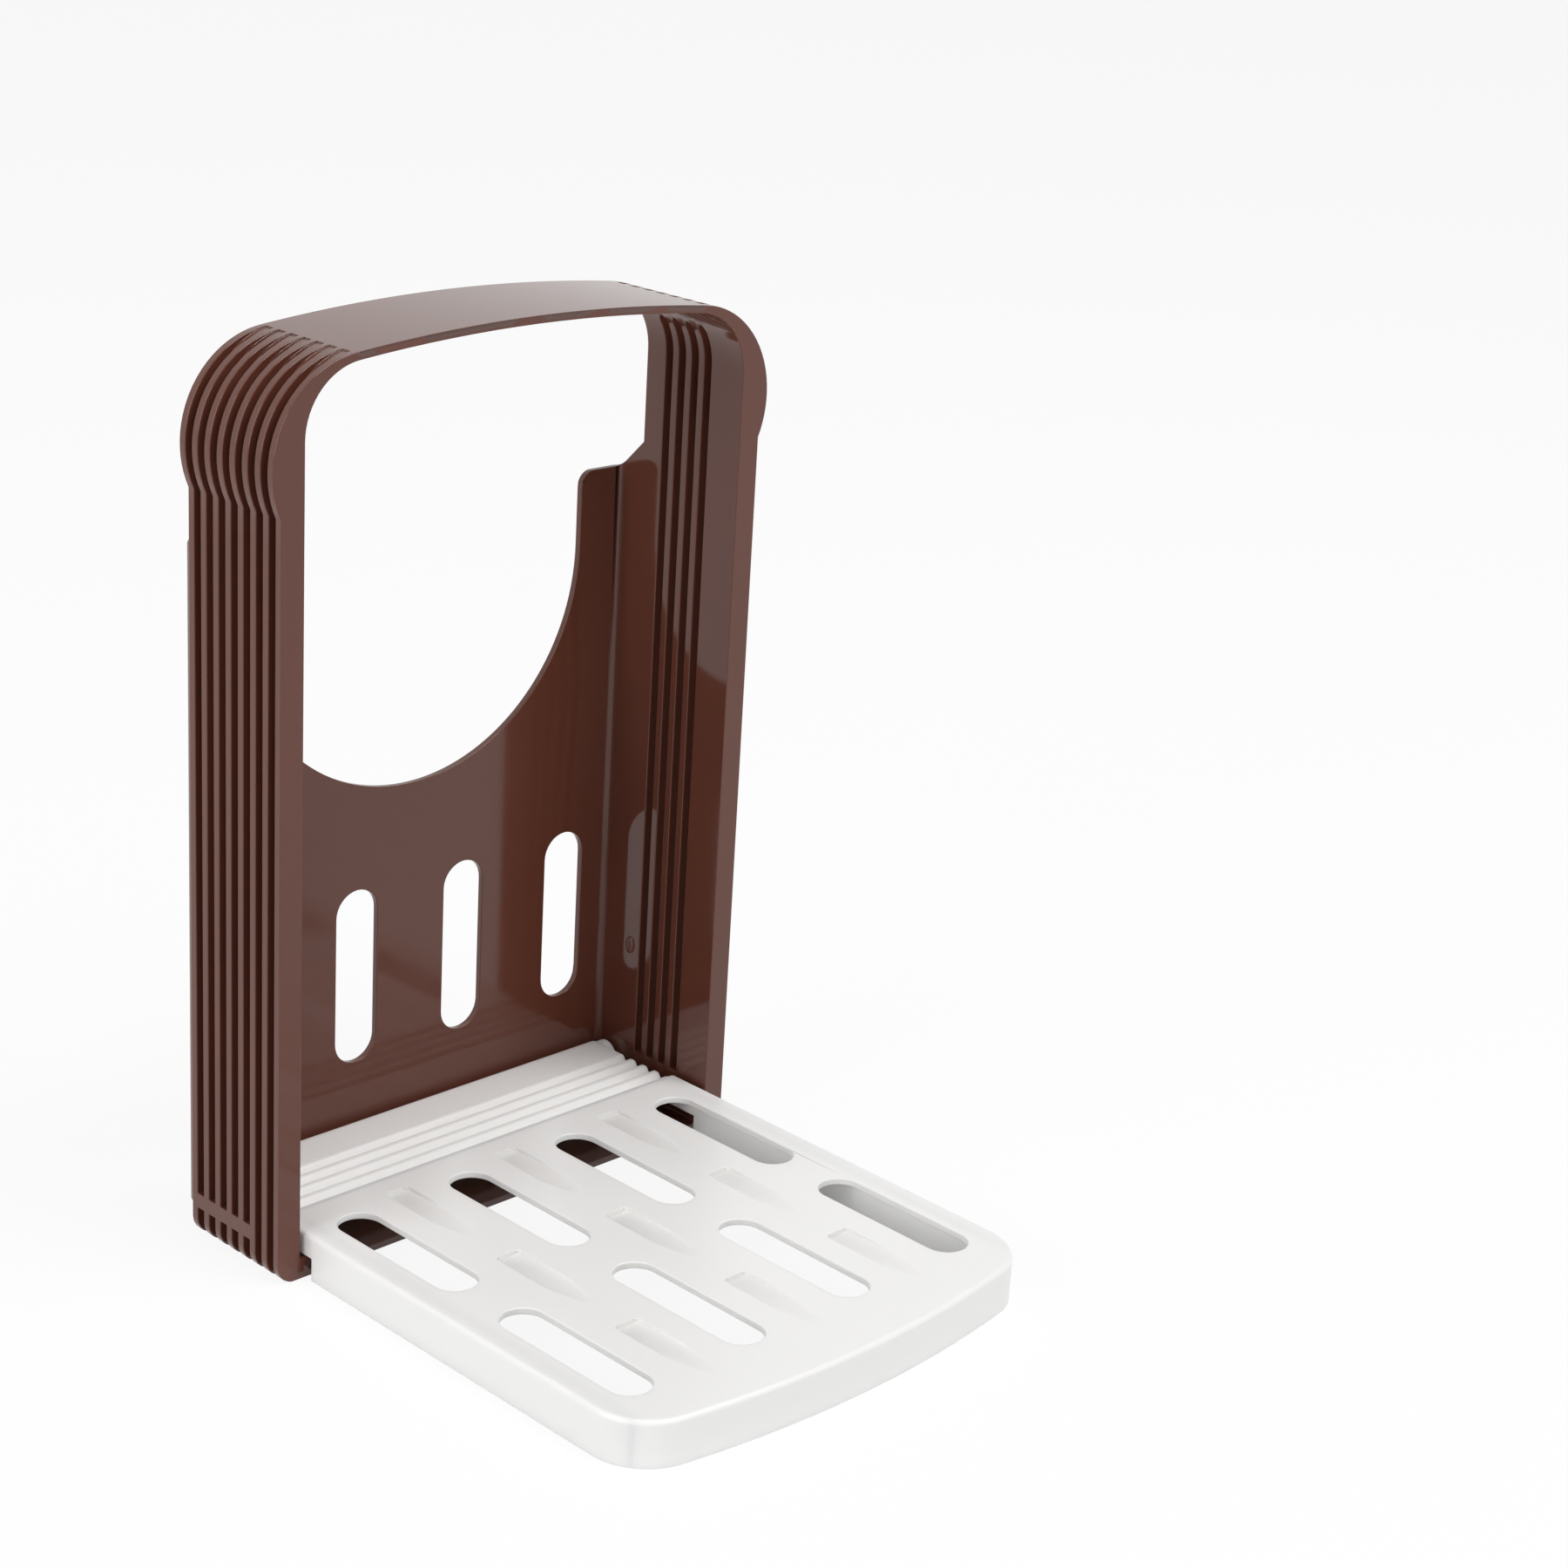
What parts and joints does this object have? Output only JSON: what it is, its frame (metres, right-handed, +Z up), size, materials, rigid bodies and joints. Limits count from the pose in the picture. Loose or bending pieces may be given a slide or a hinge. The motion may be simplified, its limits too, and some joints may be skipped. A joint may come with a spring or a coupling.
{
  "type": "bread slicing guide",
  "caption": "Upright bread slicing guide: an arched frame with upright knife slits in its ribbed side walls and a cut-out back panel, and a slotted tray that folds up into it on rear pivots.",
  "frame": {"origin": "on the table, in the middle of the guide's overall width and depth, with the tray down", "axes": "+X to the right across the width, seen from the tray's front edge; +Y from the tray's front edge to the back panel; +Z up"},
  "size_m": [0.152, 0.169, 0.228],
  "materials": {
    "frame_brown": "glossy dark brown moulded plastic",
    "tray_white": "semi-gloss white moulded plastic"
  },
  "bodies": {
    "frame": {"top_arch": "frame_brown", "left_corner": "frame_brown", "right_corner": "frame_brown", "left_front_guide": "frame_brown", "left_guide_rib_1": "frame_brown", "left_guide_rib_2": "frame_brown", "left_guide_rib_3": "frame_brown", "left_rear_guide": "frame_brown", "left_foot": "frame_brown", "right_front_guide": "frame_brown", "right_guide_rib_1": "frame_brown", "right_guide_rib_2": "frame_brown", "right_guide_rib_3": "frame_brown", "right_rear_guide": "frame_brown", "right_foot": "frame_brown", "back_panel": "frame_brown", "bottom_plate": "frame_brown"},
    "tray": {"tray": "tray_white"}
  },
  "joints": [
    {"name": "tray_fold", "type": "hinge", "parent": "frame", "child": "tray", "pos_m": [0, 0.0778, 0.0082], "axis": [-1, 0, 0], "range_deg": [0, 90]}
  ]
}
